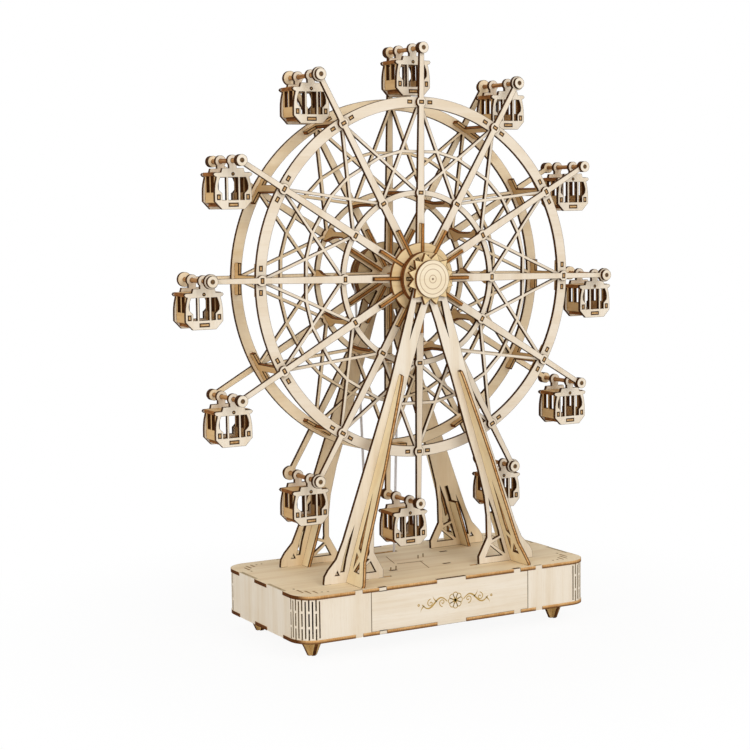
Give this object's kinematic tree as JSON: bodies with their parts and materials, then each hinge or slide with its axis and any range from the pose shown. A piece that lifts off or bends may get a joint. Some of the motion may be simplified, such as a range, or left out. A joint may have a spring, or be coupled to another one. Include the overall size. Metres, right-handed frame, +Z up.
{
  "type": "crank ferris wheel toy",
  "caption": "Hand-cranked ferris wheel toy of laser-cut plywood: hanging cabins on a spoked double wheel, two A-shaped towers, a hollow rounded base and a belt-driven crank.",
  "frame": {"origin": "on the floor under the middle of the whole outline, crank included; the middle plane of the wheel is 10.5 mm in front of it", "axes": "+Z up along the towers, front (the panelled side away from the crank) towards -Y, +X to the right seen from the front"},
  "size_m": [0.2832, 0.121, 0.3382],
  "materials": {
    "base_sheet": "pale basswood plywood, laser-cut, edges scorched brown",
    "tower_sheet": "pale basswood plywood, laser-cut, edges scorched brown",
    "wheel_sheet": "pale basswood plywood, laser-cut, edges scorched brown",
    "hub_sheet": "pale basswood plywood, laser-cut, edges scorched brown",
    "cabin_sheet": "pale basswood plywood, laser-cut, edges scorched brown",
    "crank_sheet": "pale basswood plywood, laser-cut, edges scorched brown",
    "dowel": "round birch dowel, raw",
    "belt_cord": "translucent round elastic cord"
  },
  "bodies": {
    "base": {"base_bottom_plate": "base_sheet", "base_top_plate": "base_sheet", "left_wall_wrap": "base_sheet", "right_wall_wrap": "base_sheet", "front_centre_panel": "base_sheet", "rear_centre_panel": "base_sheet", "base_feet": "base_sheet", "inner_bearing_board": "base_sheet", "base_cross_ribs": "base_sheet", "front_tower": "tower_sheet", "rear_tower": "tower_sheet", "front_tower_ribs": "tower_sheet", "rear_tower_ribs": "tower_sheet", "drive_belt": "belt_cord"},
    "wheel": {"main_axle": "dowel", "front_hub_cap": "hub_sheet", "toothed_ring": "hub_sheet", "hub_plates": "hub_sheet", "hub_discs": "hub_sheet", "hub_fins": "hub_sheet", "front_spokes": "wheel_sheet", "rear_spokes": "wheel_sheet", "front_rim_lattice": "wheel_sheet", "rear_rim_lattice": "wheel_sheet", "rim_connectors": "wheel_sheet", "inner_connectors": "wheel_sheet", "wheel_pulley": "hub_sheet", "cabin_rods": "dowel", "rod_washers": "wheel_sheet"},
    "crank": {"crank_shaft": "dowel", "crank_collars": "crank_sheet", "crank_pulley": "crank_sheet", "crank_arm": "crank_sheet", "crank_pin": "dowel"},
    "knob": {"crank_knob": "dowel"},
    "cabin_01": {"cabin_01_end_plates": "cabin_sheet", "cabin_01_box": "cabin_sheet"},
    "cabin_02": {"cabin_02_end_plates": "cabin_sheet", "cabin_02_box": "cabin_sheet"},
    "cabin_03": {"cabin_03_end_plates": "cabin_sheet", "cabin_03_box": "cabin_sheet"},
    "cabin_04": {"cabin_04_end_plates": "cabin_sheet", "cabin_04_box": "cabin_sheet"},
    "cabin_05": {"cabin_05_end_plates": "cabin_sheet", "cabin_05_box": "cabin_sheet"},
    "cabin_06": {"cabin_06_end_plates": "cabin_sheet", "cabin_06_box": "cabin_sheet"},
    "cabin_07": {"cabin_07_end_plates": "cabin_sheet", "cabin_07_box": "cabin_sheet"},
    "cabin_08": {"cabin_08_end_plates": "cabin_sheet", "cabin_08_box": "cabin_sheet"},
    "cabin_09": {"cabin_09_end_plates": "cabin_sheet", "cabin_09_box": "cabin_sheet"},
    "cabin_10": {"cabin_10_end_plates": "cabin_sheet", "cabin_10_box": "cabin_sheet"},
    "cabin_11": {"cabin_11_end_plates": "cabin_sheet", "cabin_11_box": "cabin_sheet"},
    "cabin_12": {"cabin_12_end_plates": "cabin_sheet", "cabin_12_box": "cabin_sheet"}
  },
  "joints": [
    {"name": "wheel_spin", "type": "hinge", "parent": "base", "child": "wheel", "pos_m": [0, -0.0105, 0.205], "axis": [0, 1, 0], "continuous": true},
    {"name": "crank_turn", "type": "hinge", "parent": "base", "child": "crank", "pos_m": [0, -0.0105, 0.0236], "axis": [0, 1, 0], "continuous": true},
    {"name": "knob_spin", "type": "hinge", "parent": "crank", "child": "knob", "pos_m": [0, 0.0515, 0.0386], "axis": [0, 1, 0], "continuous": true},
    {"name": "cabin_01_swing", "type": "hinge", "parent": "wheel", "child": "cabin_01", "pos_m": [0.00261, -0.0105, 0.33497], "axis": [0, 1, 0], "continuous": true},
    {"name": "cabin_02_swing", "type": "hinge", "parent": "wheel", "child": "cabin_02", "pos_m": [0.06725, -0.0105, 0.31626], "axis": [0, 1, 0], "continuous": true},
    {"name": "cabin_03_swing", "type": "hinge", "parent": "wheel", "child": "cabin_03", "pos_m": [0.11387, -0.0105, 0.26773], "axis": [0, 1, 0], "continuous": true},
    {"name": "cabin_04_swing", "type": "hinge", "parent": "wheel", "child": "cabin_04", "pos_m": [0.12997, -0.0105, 0.20239], "axis": [0, 1, 0], "continuous": true},
    {"name": "cabin_05_swing", "type": "hinge", "parent": "wheel", "child": "cabin_05", "pos_m": [0.11126, -0.0105, 0.13775], "axis": [0, 1, 0], "continuous": true},
    {"name": "cabin_06_swing", "type": "hinge", "parent": "wheel", "child": "cabin_06", "pos_m": [0.06273, -0.0105, 0.09113], "axis": [0, 1, 0], "continuous": true},
    {"name": "cabin_07_swing", "type": "hinge", "parent": "wheel", "child": "cabin_07", "pos_m": [-0.00261, -0.0105, 0.07503], "axis": [0, 1, 0], "continuous": true},
    {"name": "cabin_08_swing", "type": "hinge", "parent": "wheel", "child": "cabin_08", "pos_m": [-0.06725, -0.0105, 0.09374], "axis": [0, 1, 0], "continuous": true},
    {"name": "cabin_09_swing", "type": "hinge", "parent": "wheel", "child": "cabin_09", "pos_m": [-0.11387, -0.0105, 0.14227], "axis": [0, 1, 0], "continuous": true},
    {"name": "cabin_10_swing", "type": "hinge", "parent": "wheel", "child": "cabin_10", "pos_m": [-0.12997, -0.0105, 0.20761], "axis": [0, 1, 0], "continuous": true},
    {"name": "cabin_11_swing", "type": "hinge", "parent": "wheel", "child": "cabin_11", "pos_m": [-0.11126, -0.0105, 0.27225], "axis": [0, 1, 0], "continuous": true},
    {"name": "cabin_12_swing", "type": "hinge", "parent": "wheel", "child": "cabin_12", "pos_m": [-0.06273, -0.0105, 0.31887], "axis": [0, 1, 0], "continuous": true}
  ],
  "couplings": [
    {"joint": "crank_turn", "follows": "wheel_spin", "ratio": 1.7395},
    {"joint": "cabin_01_swing", "follows": "wheel_spin", "ratio": -1},
    {"joint": "cabin_02_swing", "follows": "wheel_spin", "ratio": -1},
    {"joint": "cabin_03_swing", "follows": "wheel_spin", "ratio": -1},
    {"joint": "cabin_04_swing", "follows": "wheel_spin", "ratio": -1},
    {"joint": "cabin_05_swing", "follows": "wheel_spin", "ratio": -1},
    {"joint": "cabin_06_swing", "follows": "wheel_spin", "ratio": -1},
    {"joint": "cabin_07_swing", "follows": "wheel_spin", "ratio": -1},
    {"joint": "cabin_08_swing", "follows": "wheel_spin", "ratio": -1},
    {"joint": "cabin_09_swing", "follows": "wheel_spin", "ratio": -1},
    {"joint": "cabin_10_swing", "follows": "wheel_spin", "ratio": -1},
    {"joint": "cabin_11_swing", "follows": "wheel_spin", "ratio": -1},
    {"joint": "cabin_12_swing", "follows": "wheel_spin", "ratio": -1}
  ]
}
